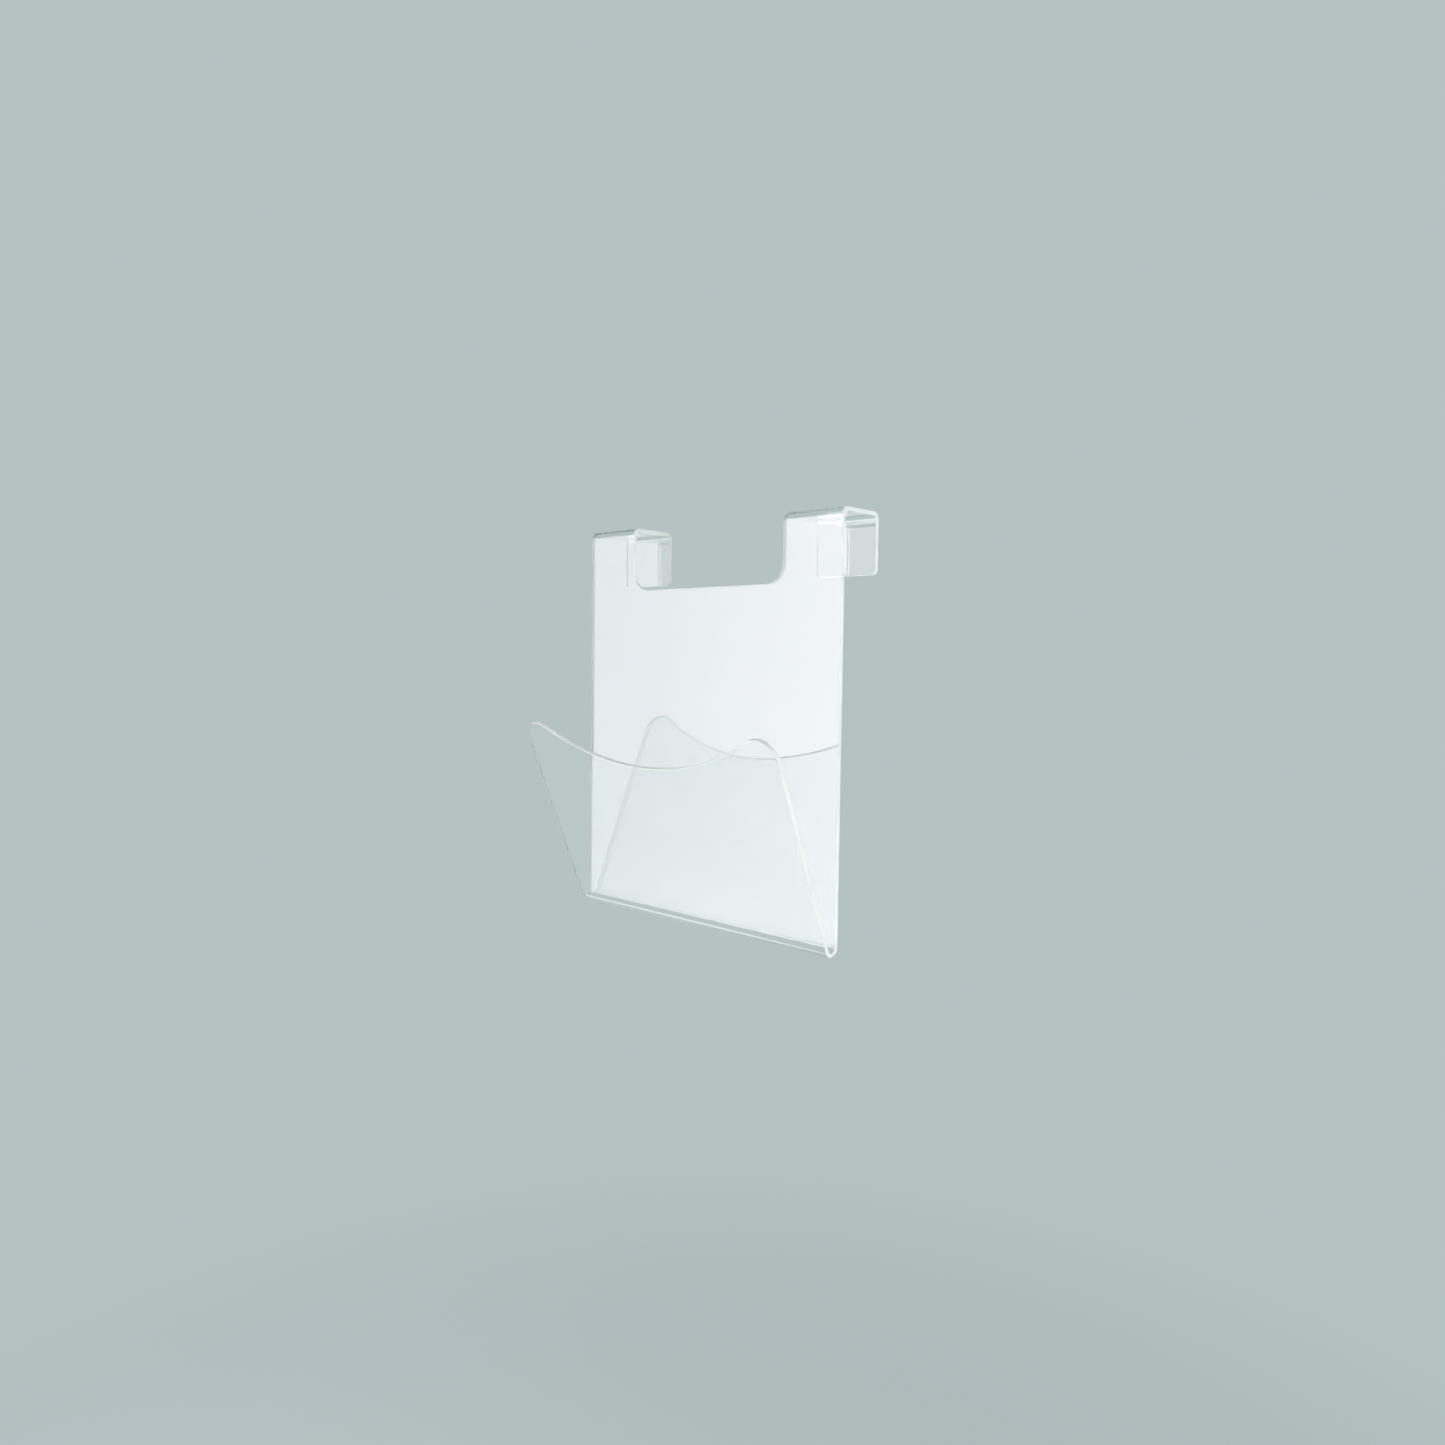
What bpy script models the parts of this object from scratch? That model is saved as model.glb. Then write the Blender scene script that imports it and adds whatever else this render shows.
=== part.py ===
"""Hanging document pocket: an open-sided pocket of clear acrylic sheet with two hooks at its top.

The real object is one clear acrylic sheet, cut flat and then folded along straight heated lines. Here each
flat and each bend of that sheet is a solid of its own, with a hair gap to its neighbours. A bend keeps a
short lip of flat sheet on either side of its arc.

Frame, in metres: X runs across the sheet, +Y goes from the pocket to the rear legs and +Z is up. The origin
is on the rear face of the back panel, level with the undersides of the two hooks and midway between them.
"""
import math
from collections import namedtuple

import bmesh
import bpy

# Sheet
SHEET_THICKNESS = 0.003
SEAM_GAP = 0.0003

# Back panel and the fold under it
PANEL_WIDTH = 0.250
PANEL_DROP = 0.298              # undersides of the hooks to the underside of the bottom fold
CUTOUT_DROP = 0.046             # undersides of the hooks to the bottom of the finger cut-out
CUTOUT_CORNER_RADIUS = 0.015
FOLD_INNER_RADIUS = 0.0035
FOLD_LIP = 0.006

# Hooks
HOOK_WIDTH = 0.050
HOOK_SLOT = 0.036               # rear face of the back panel to the rear legs
REAR_LEG_DROP = 0.040           # undersides of the hooks to the legs' tips
LEG_CORNER_RADIUS = 0.004
HOOK_INNER_RADIUS = 0.0025
HOOK_BEND_LIP = 0.002

# Front panel, measured along its slope from the end of the fold's arc
FRONT_LEAN = math.radians(22.5)
FRONT_LOW_LENGTH = 0.127        # to the lowest point of the scooped top edge
SCOOP_RADIUS = 0.205
FRONT_CORNER_RADIUS = 0.015

# Largest distance between a true arc and the straight steps that stand for it
ARC_TOLERANCE = 0.00001
# Edges that turn by less than this are shaded as one round surface
SMOOTH_ANGLE = math.radians(30)

# Acrylic: faint green-grey, clear and polished
ACRYLIC_COLOUR = (0.90, 0.95, 0.94, 1.0)
ACRYLIC_ROUGHNESS = 0.03
ACRYLIC_METALLIC = 0.0
ACRYLIC_IOR = 1.49
ACRYLIC_ALPHA = 0.45

HALF_WIDTH = PANEL_WIDTH / 2
CUTOUT_HALF_WIDTH = HALF_WIDTH - HOOK_WIDTH
FOLD_OUTER_RADIUS = FOLD_INNER_RADIUS + SHEET_THICKNESS
HOOK_FLAT_START = HOOK_INNER_RADIUS + HOOK_BEND_LIP + SEAM_GAP
HOOK_SIDES = {"left": -1, "right": 1}

# A bend of the sheet, about an axis along X: Y and Z of the axis, and the angles where its arc runs
Bend = namedtuple("Bend", "centre start end inner_radius lip")


def remove_scene_objects():
    for item in list(bpy.data.objects):
        bpy.data.objects.remove(item, do_unlink=True)


def acrylic(name):
    """A clear acrylic material of the sub-part's own."""
    material = bpy.data.materials.new(name)
    material.use_nodes = True
    shader = material.node_tree.nodes["Principled BSDF"]
    shader.inputs["Base Color"].default_value = ACRYLIC_COLOUR
    shader.inputs["Roughness"].default_value = ACRYLIC_ROUGHNESS
    shader.inputs["Metallic"].default_value = ACRYLIC_METALLIC
    shader.inputs["IOR"].default_value = ACRYLIC_IOR
    shader.inputs["Alpha"].default_value = ACRYLIC_ALPHA
    return material


def arc(centre, radius, start, end):
    """Points along a circle from one angle to another, both ends included."""
    step = 2 * math.acos(1 - ARC_TOLERANCE / radius)
    count = max(1, math.ceil(abs(end - start) / step))
    points = []
    for index in range(count + 1):
        angle = start + (end - start) * index / count
        points.append((centre[0] + radius * math.cos(angle), centre[1] + radius * math.sin(angle)))
    return points


def bend_section(bend):
    """The section of a bend about (0, 0): a ring sector between its angles, with a lip past each end."""
    start, end, lip = bend.start, bend.end, bend.lip
    turn = math.copysign(1, end - start)
    back = (turn * lip * math.sin(start), -turn * lip * math.cos(start))
    onward = (-turn * lip * math.sin(end), turn * lip * math.cos(end))
    section = []
    for radius, first, last, before, after in (
        (bend.inner_radius + SHEET_THICKNESS, start, end, back, onward),
        (bend.inner_radius, end, start, onward, back),
    ):
        points = arc((0, 0), radius, first, last)
        section.append((points[0][0] + before[0], points[0][1] + before[1]))
        section += points
        section.append((points[-1][0] + after[0], points[-1][1] + after[1]))
    return section


def extruded_mesh(name, outline, depth):
    """A closed mesh: the outline in the local XY plane, extruded along local Z."""
    shape = bmesh.new()
    corners = [shape.verts.new((x, y, 0)) for x, y in outline]
    base = shape.faces.new(corners)
    grown = bmesh.ops.extrude_face_region(shape, geom=[base])
    moved = [item for item in grown["geom"] if isinstance(item, bmesh.types.BMVert)]
    bmesh.ops.translate(shape, verts=moved, vec=(0, 0, depth))
    bmesh.ops.recalc_face_normals(shape, faces=shape.faces)
    mesh = bpy.data.meshes.new(name)
    shape.to_mesh(mesh)
    shape.free()
    return mesh


def place(name, mesh, location, rotation, parent):
    """Put a mesh into the scene under the pocket's empty, with its own material."""
    item = bpy.data.objects.new(name, mesh)
    bpy.context.scene.collection.objects.link(item)
    item.location = location
    item.rotation_euler = rotation
    item.parent = parent
    mesh.materials.append(acrylic(name + "_acrylic"))
    return item


def add_flat(name, outline, location, tilt, parent):
    """A flat stretch of the sheet: local X across, local Y along it, the tilt turning it about X."""
    mesh = extruded_mesh(name, outline, SHEET_THICKNESS)
    return place(name, mesh, location, (tilt, 0, 0), parent)


def add_bend(name, x_range, bend, parent):
    """A bend of the sheet: its section in the world's YZ plane, extruded along X and shaded smooth."""
    x_low, x_high = x_range
    mesh = extruded_mesh(name, bend_section(bend), x_high - x_low)
    mesh.shade_smooth()
    mesh.set_sharp_from_angle(angle=SMOOTH_ANGLE)
    upright = (math.pi / 2, 0, math.pi / 2)
    return place(name, mesh, (x_low, bend.centre[0], bend.centre[1]), upright, parent)


def back_panel_outline():
    """The back panel with its risers: X across, Y up from the level of the hooks' undersides."""
    top = -HOOK_FLAT_START
    bottom = -PANEL_DROP + FOLD_OUTER_RADIUS + FOLD_LIP + SEAM_GAP
    corner_x = CUTOUT_HALF_WIDTH - CUTOUT_CORNER_RADIUS
    corner_z = -CUTOUT_DROP + CUTOUT_CORNER_RADIUS
    right_corner = arc((corner_x, corner_z), CUTOUT_CORNER_RADIUS, 0, -math.pi / 2)
    left_corner = arc((-corner_x, corner_z), CUTOUT_CORNER_RADIUS, -math.pi / 2, -math.pi)
    outline = [(-HALF_WIDTH, bottom), (HALF_WIDTH, bottom), (HALF_WIDTH, top), (CUTOUT_HALF_WIDTH, top)]
    outline += right_corner + left_corner
    outline += [(-CUTOUT_HALF_WIDTH, top), (-HALF_WIDTH, top)]
    return outline


def front_panel_outline():
    """The front panel: X across, Y up its slope. Each top corner blends its side into the scoop."""
    scoop_y = FRONT_LOW_LENGTH + SCOOP_RADIUS
    corner_x = HALF_WIDTH - FRONT_CORNER_RADIUS
    centres_apart = SCOOP_RADIUS + FRONT_CORNER_RADIUS
    corner_y = scoop_y - math.sqrt(centres_apart ** 2 - corner_x ** 2)
    turn = math.pi - math.acos(corner_x / centres_apart)
    right_corner = arc((corner_x, corner_y), FRONT_CORNER_RADIUS, 0, turn)
    scoop = arc((0, scoop_y), SCOOP_RADIUS, turn - math.pi, -turn)
    left_corner = arc((-corner_x, corner_y), FRONT_CORNER_RADIUS, math.pi - turn, math.pi)
    bottom = FOLD_LIP + SEAM_GAP
    outline = [(-HALF_WIDTH, bottom), (HALF_WIDTH, bottom)]
    outline += right_corner[:-1] + scoop + left_corner[1:]
    return outline


def rear_leg_outline(x_low, x_high):
    """A rear leg: X across, Y down from the level of the hooks' undersides to the rounded tip."""
    corner_y = REAR_LEG_DROP - LEG_CORNER_RADIUS
    outline = [(x_low, HOOK_FLAT_START), (x_high, HOOK_FLAT_START)]
    outline += arc((x_high - LEG_CORNER_RADIUS, corner_y), LEG_CORNER_RADIUS, 0, math.pi / 2)
    outline += arc((x_low + LEG_CORNER_RADIUS, corner_y), LEG_CORNER_RADIUS, math.pi / 2, math.pi)
    return outline


def add_back_panel(parent):
    add_flat("back_panel", back_panel_outline(), (0, 0, 0), math.pi / 2, parent)


def add_bottom_fold(parent):
    """The fold under the pocket, from straight down the back panel to up the leaning front panel."""
    bend = Bend(fold_centre(), 0, FRONT_LEAN - math.pi, FOLD_INNER_RADIUS, FOLD_LIP)
    add_bend("bottom_fold", (-HALF_WIDTH, HALF_WIDTH), bend, parent)


def fold_centre():
    """Y and Z of the bottom fold's axis."""
    return (-FOLD_OUTER_RADIUS, -PANEL_DROP + FOLD_OUTER_RADIUS)


def add_front_panel(parent):
    """The front panel's place is where the fold's arc ends on its inner radius."""
    centre = fold_centre()
    start_y = centre[0] - FOLD_INNER_RADIUS * math.cos(FRONT_LEAN)
    start_z = centre[1] - FOLD_INNER_RADIUS * math.sin(FRONT_LEAN)
    tilt = math.pi / 2 + FRONT_LEAN
    add_flat("front_panel", front_panel_outline(), (0, start_y, start_z), tilt, parent)


def add_hook(side, sign, parent):
    """One hook: front bend, flat top, rear bend and rear leg."""
    name = side + "_hook_"
    x_low, x_high = sorted((sign * CUTOUT_HALF_WIDTH, sign * HALF_WIDTH))
    start, end = HOOK_FLAT_START, HOOK_SLOT - HOOK_FLAT_START
    top = [(x_low, start), (x_high, start), (x_high, end), (x_low, end)]
    radius, quarter = HOOK_INNER_RADIUS, math.pi / 2
    front = Bend((radius, -radius), math.pi, quarter, radius, HOOK_BEND_LIP)
    rear = Bend((HOOK_SLOT - radius, -radius), quarter, 0, radius, HOOK_BEND_LIP)
    add_bend(name + "front_bend", (x_low, x_high), front, parent)
    add_flat(name + "top", top, (0, 0, 0), 0, parent)
    add_bend(name + "rear_bend", (x_low, x_high), rear, parent)
    leg = rear_leg_outline(x_low, x_high)
    add_flat(name + "rear_leg", leg, (0, HOOK_SLOT, 0), -math.pi / 2, parent)


def build_pocket():
    remove_scene_objects()
    pocket = bpy.data.objects.new("hanging_document_pocket", None)
    bpy.context.scene.collection.objects.link(pocket)
    add_front_panel(pocket)
    add_bottom_fold(pocket)
    add_back_panel(pocket)
    for side, sign in HOOK_SIDES.items():
        add_hook(side, sign, pocket)


build_pocket()
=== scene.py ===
"""Hanging document pocket: one clear acrylic sheet, folded, hanging in a plain pale studio.

The sheet is modelled as its maker cuts it. Each piece is an outline on the flat blank, with its cut edges
rounded off, and the blank is then folded along one path that runs from the tips of the rear legs, over the
hooks, down the back and up the leaning front. The pieces meet exactly at their seams, so light crosses them
as it does in one sheet.
"""
import cmath
import math
from collections import namedtuple

import bpy
from mathutils import Matrix, Vector


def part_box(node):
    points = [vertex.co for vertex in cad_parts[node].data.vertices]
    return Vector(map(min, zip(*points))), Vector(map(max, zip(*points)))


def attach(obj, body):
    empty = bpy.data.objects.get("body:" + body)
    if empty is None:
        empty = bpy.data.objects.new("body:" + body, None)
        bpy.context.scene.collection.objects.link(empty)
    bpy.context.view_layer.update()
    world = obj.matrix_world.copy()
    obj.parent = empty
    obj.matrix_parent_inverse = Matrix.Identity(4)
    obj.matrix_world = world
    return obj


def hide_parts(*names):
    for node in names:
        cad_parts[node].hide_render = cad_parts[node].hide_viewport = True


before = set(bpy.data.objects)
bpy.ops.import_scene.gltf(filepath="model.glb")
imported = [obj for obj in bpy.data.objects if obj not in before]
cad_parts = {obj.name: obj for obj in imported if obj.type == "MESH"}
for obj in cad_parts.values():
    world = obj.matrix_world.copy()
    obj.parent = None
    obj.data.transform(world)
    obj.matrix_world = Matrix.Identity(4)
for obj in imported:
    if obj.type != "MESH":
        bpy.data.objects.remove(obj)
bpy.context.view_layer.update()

# Sheet, read from the frame
PANEL_LOW, PANEL_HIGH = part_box("back_panel")
THICKNESS = PANEL_HIGH.y - PANEL_LOW.y
HALF_WIDTH = PANEL_HIGH.x
HOOK_INNER_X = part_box("right_hook_top")[0].x
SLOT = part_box("right_hook_rear_leg")[0].y
LEG_DROP = -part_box("right_hook_rear_leg")[0].z
PANEL_DROP = -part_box("bottom_fold")[0].z

# Sheet, as the frame is built
HOOK_INNER_RADIUS = 0.0025
HOOK_BEND_LIP = 0.002
FOLD_INNER_RADIUS = 0.0035
FOLD_LIP = 0.006
SEAM_GAP = 0.0003
CUTOUT_DROP = 0.046
CUTOUT_CORNER_RADIUS = 0.015
LEG_CORNER_RADIUS = 0.004
FRONT_LEAN = math.radians(22.5)
FRONT_LOW_LENGTH = 0.127
SCOOP_RADIUS = 0.205
FRONT_CORNER_RADIUS = 0.015

# Rounded arris along the cut edges, and how finely curves are stepped
ARRIS = 0.0004
ARRIS_STEPS = 3
CURVE_STEP = math.radians(3)
SCOOP_STEP = math.radians(0.6)
BEND_STEP = math.radians(3)

QUARTER = math.pi / 2
# Two edges run on in line where the cross product of their directions is smaller than this
IN_LINE = 1e-6

# The pieces' material slots
FACE_SLOT, CUT_SLOT, SEAM_SLOT = range(3)

# Camera, solved from the pocket's own edges in the photograph
PHOTO_SIZE = 1445
FOCAL_PIXELS = 1039.9
SENSOR_WIDTH = 36.0
CAMERA_PLACE = Vector((0.5293, -0.5667, -0.0993))
CAMERA_AZIMUTH = math.radians(42.06)
CAMERA_ELEVATION = math.radians(3.46)
CAMERA_ROLL = math.radians(0.7)

# Backdrop, floor and even light
BACKDROP_COLOUR = (0.46, 0.54, 0.545, 1.0)
WHITE = (1.0, 1.0, 1.0, 1.0)
AMBIENT_STRENGTH = 0.45
FLOOR_HEIGHT = -1.2
FLOOR_RADIUS = 3.0
FLOOR_SIDES = 64
# The floor turns into the backdrop between these distances from its middle
FLOOR_FADE = (0.4, 1.6)
FLOOR_COLOUR = (0.60, 0.70, 0.705, 1.0)
# Light runs a long way inside the sheet before it leaves at an edge
LIGHT_BOUNCES = 64

# Lamp overhead
TOP_PLACE = Vector((0.0, 0.1, 1.6))
TOP_SIZE = 2.4
TOP_RADIANCE = 0.55

# Softboxes: glowing panels that face the middle of the pocket. A fade gives shares of the strength, from
# the near side to the far side and from the foot to the top. A border is the part of the width over which
# the light falls to nothing at the rim. A second sheet doesn't mirror what is above the single height. The
# mirrored share is left of the strength where the sheet mirrors the panel.
Softbox = namedtuple("Softbox", "name place width height radiance colour fade border single mirrored")
MIDDLE = Vector((0, 0, -PANEL_DROP / 2))
KEY_DISTANCE = 1.37
KEY_COLOUR = (1.0, 0.88, 0.94, 1.0)
KEY_FADE = ((1.0, 0.5), (0.88, 0.82))
RIGHT_PLACE = Vector((1.5, -0.5, -0.85))
LOW_PLACE = Vector((-0.66, -0.41, -0.78))
FOLD_CARD_PLACE = Vector((-0.6, 0.35, -0.85))
EVEN = ((1.0, 1.0), (1.0, 1.0))
# A panel's own coordinates run from 0 to 1 across it
HALFWAY = 0.5
# A light path's depths are whole numbers, so these part none from one, and two from three
ANY_DEPTH = 0.5
THIRD_DEPTH = 2.5

# Noises that drift over the sheet: scale and detail
TINT_NOISE = (9.0, 2.0)
HAZE_NOISE = (55.0, 4.0)
WAVE_NOISE = (16.0, 0.0)
EDGE_DRIFT_NOISE = (38.0, 3.0)
CUTTER_MARK_NOISE = (2000.0, 2.0)
# A noise's values mostly lie in this range
NOISE_RANGE = (0.3, 0.7)
UNIT_RANGE = (0.0, 1.0)

# Clear faces: tint and haze drift over centimetres, and the sheet is very slightly wavy
ACRYLIC_IOR = 1.49
CLEAR_TINT = (0.97, 0.982, 0.98, 1.0)
CLEAR_TINT_DEEP = (0.955, 0.974, 0.97, 1.0)
HAZE_ROUGHNESS = (0.0, 0.018)
WAVE_DEPTH = 0.00006

# Cut edges: painted near white in place of the light that a clear polished edge gathers from the sheet,
# with fine marks left by the cutter
# Both ends of the edge's colour are painted light, and a noise drifts between them at random
EDGE_PAINTED_LIGHT = (0.94, 0.985, 0.975, 1.0)
EDGE_PAINTED_LIGHT_GREY = (0.85, 0.905, 0.89, 1.0)
EDGE_TRANSMISSION = 0.2
CUTTER_MARK_DEPTH = 0.00002
EDGE_ROUGHNESS = (0.10, 0.28)

# A stretch of the folded path: where it runs along the blank, its first point and heading as y + z i, and
# the turn and radius of a bend's middle plane
Stretch = namedtuple("Stretch", "first last point heading turn radius")
# A corner of an outline on the blank: its place, and whether the edge that starts there is a free, cut edge
Corner = namedtuple("Corner", "x along free")


def folded_path():
    """The sheet's middle plane in the YZ plane, from the tip of a rear leg to past the top of the front."""
    leg = (LEG_DROP - HOOK_INNER_RADIUS, 0, 0)
    top = (SLOT - 2 * HOOK_INNER_RADIUS, 0, 0)
    back = (PANEL_DROP - HOOK_INNER_RADIUS - FOLD_INNER_RADIUS - THICKNESS, 0, 0)
    front = (FRONT_LOW_LENGTH + SCOOP_RADIUS, 0, 0)
    hook_bend = bend_run(QUARTER, HOOK_INNER_RADIUS)
    fold = bend_run(FRONT_LEAN - math.pi, FOLD_INNER_RADIUS)
    point = complex(SLOT + THICKNESS / 2, -LEG_DROP)
    heading = 1j
    gone = 0
    path = []
    for length, turn, radius in (leg, hook_bend, top, hook_bend, back, fold, front):
        path.append(Stretch(gone, gone + length, point, heading, turn, radius))
        point, heading = along(path[-1], length)
        gone += length
    return path


def bend_run(turn, inner_radius):
    """The length of a bend on the middle plane, its turn and its radius there."""
    radius = inner_radius + THICKNESS / 2
    return abs(turn) * radius, turn, radius


def along(stretch, distance):
    """The point and heading, as y + z i, that far into a stretch of the path."""
    if not stretch.turn:
        return stretch.point + distance * stretch.heading, stretch.heading
    centre = stretch.point + math.copysign(stretch.radius, stretch.turn) * 1j * stretch.heading
    swing = cmath.exp(1j * stretch.turn * distance / (stretch.last - stretch.first))
    return centre + (stretch.point - centre) * swing, stretch.heading * swing


PATH = folded_path()
LEG, REAR_BEND, TOP, FRONT_BEND, BACK, FOLD, FRONT = PATH


def on_path(distance):
    """The point and heading that far along the whole path."""
    for stretch in PATH:
        if distance <= stretch.last:
            break
    return along(stretch, distance - stretch.first)


def folded(x, distance, height):
    """A point of the blank, in the row frame: its height is above the middle plane."""
    point, heading = on_path(distance)
    point += height * 1j * heading
    return Vector((x, point.real, point.imag))


def folded_normal(across, onward, upward, distance):
    """A direction on the blank, in the row frame."""
    heading = on_path(distance)[1]
    turned = onward * heading + upward * 1j * heading
    return Vector((across, turned.real, turned.imag))


def arc(centre, radius, start, end, step):
    """Points along a circle from one angle to another, both ends included."""
    count = max(1, math.ceil(abs(end - start) / step))
    points = []
    for index in range(count + 1):
        angle = start + (end - start) * index / count
        points.append((centre[0] + radius * math.cos(angle), centre[1] + radius * math.sin(angle)))
    return points


def corners(points, seams):
    """An outline's corners. A seam is named by the number of its first point."""
    return [Corner(x, onward, index not in seams) for index, (x, onward) in enumerate(points)]


def edge_normal(first, second):
    """The direction that points out of an outline which runs counterclockwise."""
    out = Vector((second.along - first.along, first.x - second.x))
    return out.normalized()


def moved_in(outline, depth):
    """The outline with its free edges moved in by a depth, and its seams where they are."""
    points = []
    for index, corner in enumerate(outline):
        before = outline[index - 1]
        after = outline[(index + 1) % len(outline)]
        first, second = edge_normal(before, corner), edge_normal(corner, after)
        first_depth = depth if before.free else 0
        second_depth = depth if corner.free else 0
        cross = first.x * second.y - first.y * second.x
        if abs(cross) < IN_LINE:
            shift = -first * first_depth
        else:
            across = second_depth * first.y - first_depth * second.y
            onward = first_depth * second.x - second_depth * first.x
            shift = Vector((across, onward)) / cross
        points.append((corner.x + shift.x, corner.along + shift.y))
    return points


def outward(outline):
    """At each corner, the direction that points out of the free edges beside it."""
    directions = []
    for index, corner in enumerate(outline):
        before = outline[index - 1]
        after = outline[(index + 1) % len(outline)]
        out = Vector((0, 0))
        if before.free:
            out += edge_normal(before, corner)
        if corner.free:
            out += edge_normal(corner, after)
        directions.append(out.normalized())
    return directions


def edge_profile():
    """The rounded cut edge, from one face to the other: how far in, how high and which way it faces."""
    profile = []
    for step in range(ARRIS_STEPS + 1):
        angle = QUARTER * step / ARRIS_STEPS
        depth = ARRIS * (1 - math.sin(angle))
        height = THICKNESS / 2 - ARRIS * (1 - math.cos(angle))
        profile.append((depth, height, math.sin(angle), math.cos(angle)))
    other_side = [(depth, -height, out, -up) for depth, height, out, up in reversed(profile)]
    return profile + other_side


def sheet_points(outline):
    """A piece's points and normals, in rings round its edge, from one face to the other."""
    points, normals = [], []
    directions = outward(outline)
    for depth, height, out, up in edge_profile():
        for (x, onward), way in zip(moved_in(outline, depth), directions):
            points.append(folded(x, onward, height))
            normals.append(folded_normal(way.x * out, way.y * out, up, onward))
    return points, normals


def rim_faces(outline, rings):
    """The faces between the rings, each with its material slot."""
    count = len(outline)
    faces, slots = [], []
    for ring in range(rings - 1):
        low, high = ring * count, (ring + 1) * count
        for index, corner in enumerate(outline):
            after = (index + 1) % count
            faces.append((low + index, high + index, high + after, low + after))
            slots.append(CUT_SLOT if corner.free else SEAM_SLOT)
    return faces, slots


def side_faces(count, ladder):
    """The faces that fill the first ring: one, or a ladder of rungs, so that it can bend."""
    if not ladder:
        return [tuple(range(count))]
    return [(rung, rung + 1, count - 2 - rung, count - 1 - rung) for rung in range(count // 2 - 1)]


def sheet_mesh(name, outline, ladder):
    """A closed mesh for a stretch of the sheet."""
    points, normals = sheet_points(outline)
    count = len(outline)
    last_ring = len(points) - count
    faces, slots = rim_faces(outline, len(points) // count)
    for side in side_faces(count, ladder):
        faces.append(side)
        faces.append(tuple(last_ring + corner for corner in reversed(side)))
        slots += [FACE_SLOT, FACE_SLOT]
    mesh = bpy.data.meshes.new(name)
    mesh.from_pydata(points, [], faces)
    mesh.polygons.foreach_set("material_index", slots)
    mesh.shade_smooth()
    mesh.normals_split_custom_set_from_vertices(normals)
    mesh.update()
    return mesh


def add_piece(node, outline, ladder, materials):
    """A piece of the sheet that stands for one node of the frame."""
    mesh = sheet_mesh(node + "_sheet", outline, ladder)
    for material in materials:
        mesh.materials.append(material)
    piece = bpy.data.objects.new(node + "_sheet", mesh)
    bpy.context.scene.collection.objects.link(piece)
    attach(piece, "root")
    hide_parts(node)


def shared_seam(stretch_end, lip):
    """Where a seam lies along the path: in the middle of the gap past a bend's lip."""
    return stretch_end + math.copysign(abs(lip) + SEAM_GAP / 2, lip)


def bend_outline(x_low, x_high, bend, lip):
    """A bend with its two lips: up the right side, across the far seam and back down the left side."""
    start, end = shared_seam(bend.first, -lip), shared_seam(bend.last, lip)
    count = math.ceil(abs(bend.turn) / BEND_STEP)
    stations = [start]
    for step in range(count + 1):
        stations.append(bend.first + (bend.last - bend.first) * step / count)
    stations.append(end)
    points = [(x_high, station) for station in stations]
    points += [(x_low, station) for station in reversed(stations)]
    return corners(points, {len(stations) - 1, len(points) - 1})


def leg_outline(x_low, x_high):
    """A rear leg, from its rounded tip to the seam under the rear bend."""
    end = shared_seam(LEG.last, -HOOK_BEND_LIP)
    radius = LEG_CORNER_RADIUS
    points = arc((x_low + radius, radius), radius, math.pi, 3 * QUARTER, CURVE_STEP)
    points += arc((x_high - radius, radius), radius, -QUARTER, 0, CURVE_STEP)
    points += [(x_high, end), (x_low, end)]
    return corners(points, {len(points) - 2})


def top_outline(x_low, x_high):
    """The flat top of a hook, between two seams."""
    start, end = shared_seam(TOP.first, HOOK_BEND_LIP), shared_seam(TOP.last, -HOOK_BEND_LIP)
    return corners([(x_low, start), (x_high, start), (x_high, end), (x_low, end)], {0, 2})


def back_outline():
    """The back panel with its risers. Along runs down the panel, so the outline starts at the top left.

    Its seams are the tops of the two risers and the panel's foot.
    """
    start, end = shared_seam(BACK.first, HOOK_BEND_LIP), shared_seam(BACK.last, -FOLD_LIP)
    floor = BACK.first + CUTOUT_DROP - HOOK_INNER_RADIUS
    radius = CUTOUT_CORNER_RADIUS
    corner_x, corner_along = HOOK_INNER_X - radius, floor - radius
    points = [(-HALF_WIDTH, start), (-HOOK_INNER_X, start)]
    points += arc((-corner_x, corner_along), radius, math.pi, QUARTER, CURVE_STEP)
    points += arc((corner_x, corner_along), radius, QUARTER, 0, CURVE_STEP)
    points += [(HOOK_INNER_X, start), (HALF_WIDTH, start), (HALF_WIDTH, end), (-HALF_WIDTH, end)]
    count = len(points)
    return corners(points, {0, count - 4, count - 2})


def front_outline():
    """The front panel. Each top corner blends its side into the scoop."""
    start = shared_seam(FRONT.first, FOLD_LIP)
    scoop_along = FRONT.first + FRONT_LOW_LENGTH + SCOOP_RADIUS
    corner_x = HALF_WIDTH - FRONT_CORNER_RADIUS
    apart = SCOOP_RADIUS + FRONT_CORNER_RADIUS
    corner_along = scoop_along - math.sqrt(apart ** 2 - corner_x ** 2)
    turn = math.pi - math.acos(corner_x / apart)
    points = [(-HALF_WIDTH, start), (HALF_WIDTH, start)]
    points += arc((corner_x, corner_along), FRONT_CORNER_RADIUS, 0, turn, CURVE_STEP)
    points += arc((0, scoop_along), SCOOP_RADIUS, turn - math.pi, -turn, SCOOP_STEP)[1:-1]
    points += arc((-corner_x, corner_along), FRONT_CORNER_RADIUS, math.pi - turn, math.pi, CURVE_STEP)
    return corners(points, {0})


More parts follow.
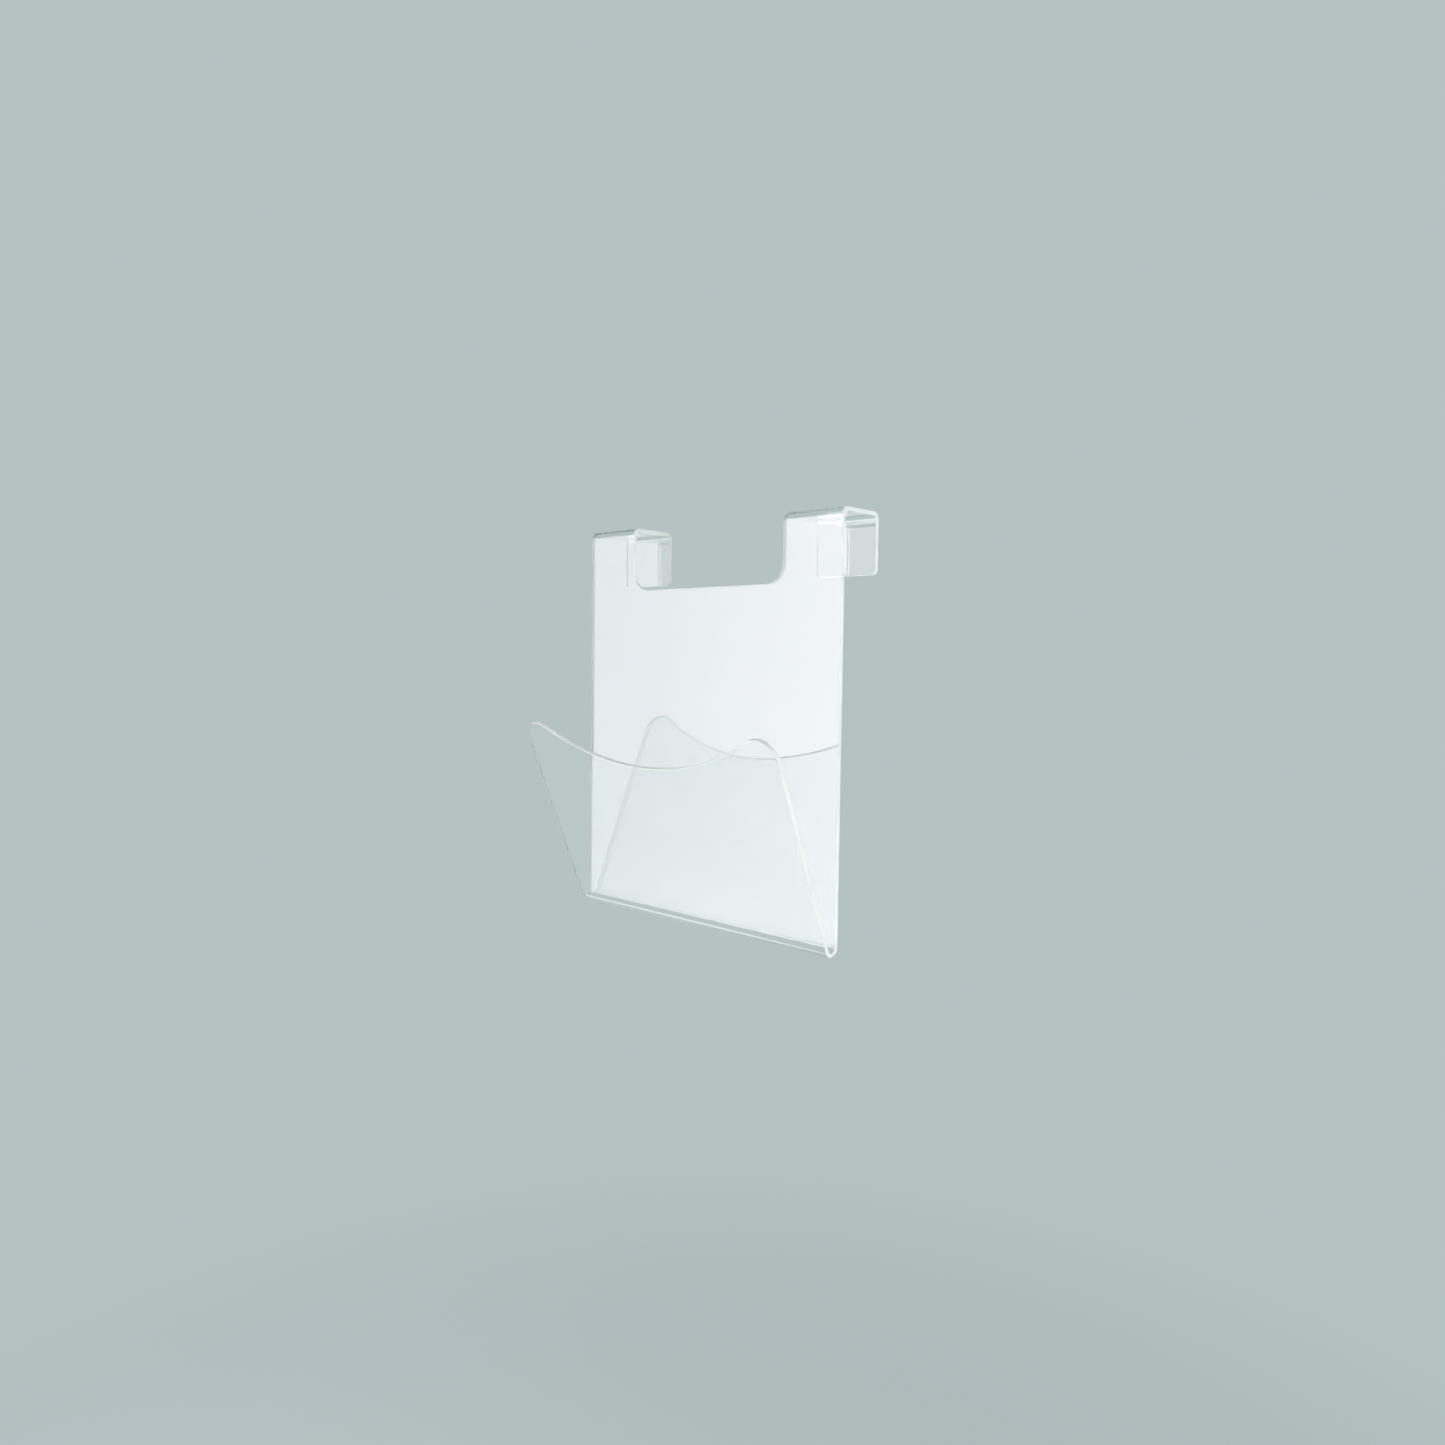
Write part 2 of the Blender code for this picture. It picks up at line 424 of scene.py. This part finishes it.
def add_sheet(materials):
    """All the pieces of the folded sheet."""
    add_piece("back_panel", back_outline(), False, materials)
    add_piece("bottom_fold", bend_outline(-HALF_WIDTH, HALF_WIDTH, FOLD, FOLD_LIP), True, materials)
    add_piece("front_panel", front_outline(), False, materials)
    for side, sign in (("left", -1), ("right", 1)):
        low, high = sorted((sign * HOOK_INNER_X, sign * HALF_WIDTH))
        front_bend = bend_outline(low, high, FRONT_BEND, HOOK_BEND_LIP)
        rear_bend = bend_outline(low, high, REAR_BEND, HOOK_BEND_LIP)
        add_piece(side + "_hook_front_bend", front_bend, True, materials)
        add_piece(side + "_hook_top", top_outline(low, high), False, materials)
        add_piece(side + "_hook_rear_bend", rear_bend, True, materials)
        add_piece(side + "_hook_rear_leg", leg_outline(low, high), False, materials)


def combined(nodes, links, operation, first, second):
    """A Math node on two values, each a node's output or a number."""
    result = nodes.new("ShaderNodeMath")
    result.operation = operation
    for socket, value in zip(result.inputs, (first, second)):
        if isinstance(value, float):
            socket.default_value = value
        else:
            links.new(value, socket)
    return result.outputs[0]


def one_minus(nodes, links, value):
    """What a share leaves of the whole."""
    return combined(nodes, links, "SUBTRACT", 1.0, value)


def product(nodes, links, factors):
    """The product of several values, the first of them a node's output."""
    total = factors[0]
    for factor in factors[1:]:
        total = combined(nodes, links, "MULTIPLY", total, factor)
    return total


def new_material(name):
    """An empty node material, with its output."""
    material = bpy.data.materials.new(name)
    material.use_nodes = True
    nodes = material.node_tree.nodes
    nodes.clear()
    return material, nodes, material.node_tree.links, nodes.new("ShaderNodeOutputMaterial")


def noise(nodes, links, kind):
    """Noise that lies still on the sheet, because it reads the coordinates of the part."""
    scale, detail = kind
    place = nodes.new("ShaderNodeTexCoord")
    texture = nodes.new("ShaderNodeTexNoise")
    texture.inputs["Scale"].default_value = scale
    texture.inputs["Detail"].default_value = detail
    links.new(place.outputs["Object"], texture.inputs["Vector"])
    return texture.outputs["Fac"]


def mapped(nodes, links, value, source, result):
    """A number's range carried over to another range, smoothly at both ends."""
    spread = nodes.new("ShaderNodeMapRange")
    spread.interpolation_type = "SMOOTHSTEP"
    spread.inputs["From Min"].default_value = source[0]
    spread.inputs["From Max"].default_value = source[1]
    spread.inputs["To Min"].default_value = result[0]
    spread.inputs["To Max"].default_value = result[1]
    links.new(value, spread.inputs["Value"])
    return spread.outputs["Result"]


def blended(nodes, links, value, first, second):
    """A colour between two, by a noise."""
    mix = nodes.new("ShaderNodeMix")
    mix.data_type = "RGBA"
    mix.inputs["A"].default_value = first
    mix.inputs["B"].default_value = second
    links.new(mapped(nodes, links, value, NOISE_RANGE, UNIT_RANGE), mix.inputs["Factor"])
    return mix.outputs["Result"]


def bumped(nodes, links, value, depth):
    """A normal that a noise tilts, as a relief of that depth would."""
    bump = nodes.new("ShaderNodeBump")
    bump.inputs["Distance"].default_value = depth
    links.new(value, bump.inputs["Height"])
    return bump.outputs["Normal"]


def clear_face():
    """Clear cast acrylic, polished."""
    material, nodes, links, output = new_material("clear_acrylic_face")
    shader = nodes.new("ShaderNodeBsdfPrincipled")
    shader.inputs["IOR"].default_value = ACRYLIC_IOR
    shader.inputs["Transmission Weight"].default_value = 1.0
    tint = noise(nodes, links, TINT_NOISE)
    haze = noise(nodes, links, HAZE_NOISE)
    wave = noise(nodes, links, WAVE_NOISE)
    links.new(blended(nodes, links, tint, CLEAR_TINT, CLEAR_TINT_DEEP), shader.inputs["Base Color"])
    links.new(mapped(nodes, links, haze, NOISE_RANGE, HAZE_ROUGHNESS), shader.inputs["Roughness"])
    links.new(bumped(nodes, links, wave, WAVE_DEPTH), shader.inputs["Normal"])
    links.new(shader.outputs["BSDF"], output.inputs["Surface"])
    return material


def cut_edge():
    """The sheet's cut and polished edge, painted near white in place of the light that the sheet gathers
    and lets out at its edges.
    """
    material, nodes, links, output = new_material("polished_cut_edge_painted_light")
    shader = nodes.new("ShaderNodeBsdfPrincipled")
    shader.inputs["IOR"].default_value = ACRYLIC_IOR
    shader.inputs["Transmission Weight"].default_value = EDGE_TRANSMISSION
    drift = noise(nodes, links, EDGE_DRIFT_NOISE)
    marks = noise(nodes, links, CUTTER_MARK_NOISE)
    # Painted light: the near white edge colour stands in for light piped out through the sheet's edge
    links.new(blended(nodes, links, drift, EDGE_PAINTED_LIGHT, EDGE_PAINTED_LIGHT_GREY), shader.inputs["Base Color"])
    links.new(mapped(nodes, links, marks, NOISE_RANGE, EDGE_ROUGHNESS), shader.inputs["Roughness"])
    links.new(bumped(nodes, links, marks, CUTTER_MARK_DEPTH), shader.inputs["Normal"])
    links.new(shader.outputs["BSDF"], output.inputs["Surface"])
    return material


def seam():
    """The inside of the sheet where two pieces meet: light goes straight through."""
    material, nodes, links, output = new_material("inside_of_sheet")
    shader = nodes.new("ShaderNodeBsdfTransparent")
    links.new(shader.outputs["BSDF"], output.inputs["Surface"])
    return material


def add_camera():
    """The photograph's camera."""
    data = bpy.data.cameras.new("photo_camera")
    data.sensor_width = SENSOR_WIDTH
    data.lens = FOCAL_PIXELS / PHOTO_SIZE * SENSOR_WIDTH
    camera = bpy.data.objects.new("photo_camera", data)
    bpy.context.scene.collection.objects.link(camera)
    back = Vector((
        math.sin(CAMERA_AZIMUTH) * math.cos(CAMERA_ELEVATION),
        -math.cos(CAMERA_AZIMUTH) * math.cos(CAMERA_ELEVATION),
        math.sin(CAMERA_ELEVATION),
    ))
    level = back.to_track_quat("Z", "Y").to_matrix().to_4x4()
    camera.matrix_world = Matrix.Translation(CAMERA_PLACE) @ level @ Matrix.Rotation(CAMERA_ROLL, 4, "Z")
    bpy.context.scene.camera = camera


def add_softbox(box):
    """A glowing panel that faces the pocket. It shows in mirrors, but not directly or through glass."""
    x, y = box.width / 2, box.height / 2
    mesh = bpy.data.meshes.new(box.name)
    mesh.from_pydata([(-x, -y, 0), (x, -y, 0), (x, y, 0), (-x, y, 0)], [], [(0, 1, 2, 3)])
    mesh.materials.append(glow(box))
    panel = bpy.data.objects.new(box.name, mesh)
    bpy.context.scene.collection.objects.link(panel)
    facing = (MIDDLE - box.place).to_track_quat("Z", "Y").to_matrix().to_4x4()
    panel.matrix_world = Matrix.Translation(box.place) @ facing
    panel.visible_camera = False
    panel.visible_shadow = False


def glow(box):
    """Light from a softbox's front, on top of a clear panel."""
    material, nodes, links, output = new_material(box.name)
    light = nodes.new("ShaderNodeEmission")
    light.inputs["Color"].default_value = box.colour
    links.new(glow_strength(nodes, links, box), light.inputs["Strength"])
    clear = nodes.new("ShaderNodeBsdfTransparent")
    both = nodes.new("ShaderNodeAddShader")
    links.new(light.outputs[0], both.inputs[0])
    links.new(clear.outputs[0], both.inputs[1])
    links.new(both.outputs[0], output.inputs["Surface"])
    material.cycles.emission_sampling = "FRONT"
    return material


def glow_strength(nodes, links, box):
    """A softbox's radiance, which fades across the panel and falls to nothing at the rim."""
    place = nodes.new("ShaderNodeTexCoord")
    parts = nodes.new("ShaderNodeSeparateXYZ")
    links.new(place.outputs["Generated"], parts.inputs[0])
    side = nodes.new("ShaderNodeNewGeometry")
    factors = [
        one_minus(nodes, links, side.outputs["Backfacing"]),
        box.radiance,
        unless_seen_through(nodes, links),
        unless_behind(nodes, links, parts.outputs["Y"], box.single),
        when_mirrored(nodes, links, box.mirrored),
    ]
    for axis, shares in zip("XY", box.fade):
        from_rim = combined(nodes, links, "PINGPONG", parts.outputs[axis], HALFWAY)
        factors.append(mapped(nodes, links, parts.outputs[axis], UNIT_RANGE, shares))
        factors.append(mapped(nodes, links, from_rim, (0.0, box.border), UNIT_RANGE))
    return product(nodes, links, factors)


def unless_seen_through(nodes, links):
    """0 for a ray that came straight through the sheet, where the backdrop shows, and else 1."""
    path = nodes.new("ShaderNodeLightPath")
    factors = [path.outputs["Is Transmission Ray"]]
    for name in ("Glossy Depth", "Diffuse Depth"):
        factors.append(combined(nodes, links, "LESS_THAN", path.outputs[name], ANY_DEPTH))
    return one_minus(nodes, links, product(nodes, links, factors))


def unless_behind(nodes, links, height, single):
    """0 above the single height for what a second sheet behind the first one mirrors, and else 1."""
    path = nodes.new("ShaderNodeLightPath")
    passed, mirrored = path.outputs["Transmission Depth"], path.outputs["Is Reflection Ray"]
    layers = combined(nodes, links, "ADD", passed, mirrored)
    behind = combined(nodes, links, "GREATER_THAN", layers, THIRD_DEPTH)
    high = combined(nodes, links, "GREATER_THAN", height, single)
    return one_minus(nodes, links, combined(nodes, links, "MULTIPLY", behind, high))


def when_mirrored(nodes, links, share):
    """That share for what either face of the sheet mirrors, and else 1."""
    path = nodes.new("ShaderNodeLightPath")
    glossy = combined(nodes, links, "GREATER_THAN", path.outputs["Glossy Depth"], ANY_DEPTH)
    direct = combined(nodes, links, "LESS_THAN", path.outputs["Diffuse Depth"], ANY_DEPTH)
    return one_minus(nodes, links, product(nodes, links, (glossy, direct, 1.0 - share)))


def key_softbox():
    """The panel that the camera sees mirrored in the back panel, which turns it near white."""
    mirrored_camera = Vector((CAMERA_PLACE.x, -CAMERA_PLACE.y, CAMERA_PLACE.z))
    return Softbox(
        name="key_softbox",
        place=MIDDLE + (MIDDLE - mirrored_camera).normalized() * KEY_DISTANCE,
        width=0.85,
        height=1.05,
        radiance=6.8,
        colour=KEY_COLOUR,
        fade=KEY_FADE,
        border=0.02,
        single=0.66,
        mirrored=1.0,
    )


def right_softbox():
    """The panel that lights the cut edges on the camera's side."""
    return Softbox(
        name="right_softbox",
        place=RIGHT_PLACE,
        width=1.8,
        height=0.8,
        radiance=7.2,
        colour=WHITE,
        fade=EVEN,
        border=0.2,
        single=1.0,
        mirrored=0.2,
    )


def low_card():
    """The faint panel that the camera sees mirrored in the leaning front."""
    return Softbox(
        name="low_card",
        place=LOW_PLACE,
        width=0.9,
        height=1.0,
        radiance=0.3,
        colour=WHITE,
        fade=EVEN,
        border=0.25,
        single=1.0,
        mirrored=1.0,
    )


def fold_card():
    """The faint panel that draws a pale line along the bottom fold."""
    return Softbox(
        name="fold_card",
        place=FOLD_CARD_PLACE,
        width=1.1,
        height=0.9,
        radiance=0.35,
        colour=WHITE,
        fade=EVEN,
        border=0.4,
        single=1.0,
        mirrored=1.0,
    )


def add_lights():
    """The softboxes and the lamp overhead."""
    for box in (key_softbox(), right_softbox(), low_card(), fold_card()):
        add_softbox(box)
    add_top_lamp()


def add_top_lamp():
    """A wide lamp overhead, which lights the floor and the edges that face up.

    A square lamp's power is pi times its area times its radiance.
    """
    data = bpy.data.lights.new("top_lamp", "AREA")
    data.size = TOP_SIZE
    data.energy = TOP_RADIANCE * math.pi * TOP_SIZE ** 2
    lamp = bpy.data.objects.new("top_lamp", data)
    bpy.context.scene.collection.objects.link(lamp)
    lamp.location = TOP_PLACE
    lamp.visible_camera = False
    lamp.visible_transmission = False


def add_world():
    """Even ambient light, and a plain pale backdrop for what the camera sees, mirrors or glass included."""
    world = bpy.data.worlds.new("studio")
    bpy.context.scene.world = world
    world.use_nodes = True
    nodes, links = world.node_tree.nodes, world.node_tree.links
    nodes.clear()
    output = nodes.new("ShaderNodeOutputWorld")
    ambient = nodes.new("ShaderNodeBackground")
    ambient.inputs["Color"].default_value = WHITE
    ambient.inputs["Strength"].default_value = AMBIENT_STRENGTH
    backdrop = nodes.new("ShaderNodeBackground")
    backdrop.inputs["Color"].default_value = BACKDROP_COLOUR
    mix = nodes.new("ShaderNodeMixShader")
    links.new(seen_ray(nodes, links), mix.inputs[0])
    links.new(ambient.outputs[0], mix.inputs[1])
    links.new(backdrop.outputs[0], mix.inputs[2])
    links.new(mix.outputs[0], output.inputs["Surface"])


def seen_ray(nodes, links):
    """1 for rays from the camera, from a mirror or through glass, and 0 for the others."""
    path = nodes.new("ShaderNodeLightPath")
    total = path.outputs["Is Camera Ray"]
    for name in ("Is Glossy Ray", "Is Transmission Ray"):
        total = combined(nodes, links, "MAXIMUM", total, path.outputs[name])
    return total


def floor_material():
    """Matt floor that fades out into the backdrop with its distance from the middle."""
    material, nodes, links, output = new_material("pale_floor")
    place = nodes.new("ShaderNodeTexCoord")
    length = nodes.new("ShaderNodeVectorMath")
    length.operation = "LENGTH"
    links.new(place.outputs["Object"], length.inputs[0])
    fade = mapped(nodes, links, length.outputs["Value"], FLOOR_FADE, UNIT_RANGE)
    matt = nodes.new("ShaderNodeBsdfDiffuse")
    matt.inputs["Color"].default_value = FLOOR_COLOUR
    gone = nodes.new("ShaderNodeBsdfTransparent")
    mix = nodes.new("ShaderNodeMixShader")
    links.new(fade, mix.inputs[0])
    links.new(matt.outputs[0], mix.inputs[1])
    links.new(gone.outputs[0], mix.inputs[2])
    links.new(mix.outputs[0], output.inputs["Surface"])
    return material


def add_floor():
    """A round floor under the hanging pocket."""
    rim = []
    for side in range(FLOOR_SIDES):
        angle = 2 * math.pi * side / FLOOR_SIDES
        rim.append((FLOOR_RADIUS * math.cos(angle), FLOOR_RADIUS * math.sin(angle), 0))
    mesh = bpy.data.meshes.new("floor")
    mesh.from_pydata(rim, [], [tuple(range(len(rim)))])
    mesh.materials.append(floor_material())
    floor = bpy.data.objects.new("floor", mesh)
    bpy.context.scene.collection.objects.link(floor)
    floor.location = (0, 0, FLOOR_HEIGHT)


def set_render_settings():
    """Plain colours, and light that runs on inside the sheet until it leaves."""
    bpy.context.scene.view_settings.view_transform = "Standard"
    cycles = bpy.context.scene.cycles
    cycles.max_bounces = LIGHT_BOUNCES
    cycles.transmission_bounces = LIGHT_BOUNCES
    cycles.glossy_bounces = LIGHT_BOUNCES
    cycles.transparent_max_bounces = LIGHT_BOUNCES


add_sheet((clear_face(), cut_edge(), seam()))
add_camera()
add_lights()
add_world()
add_floor()
set_render_settings()
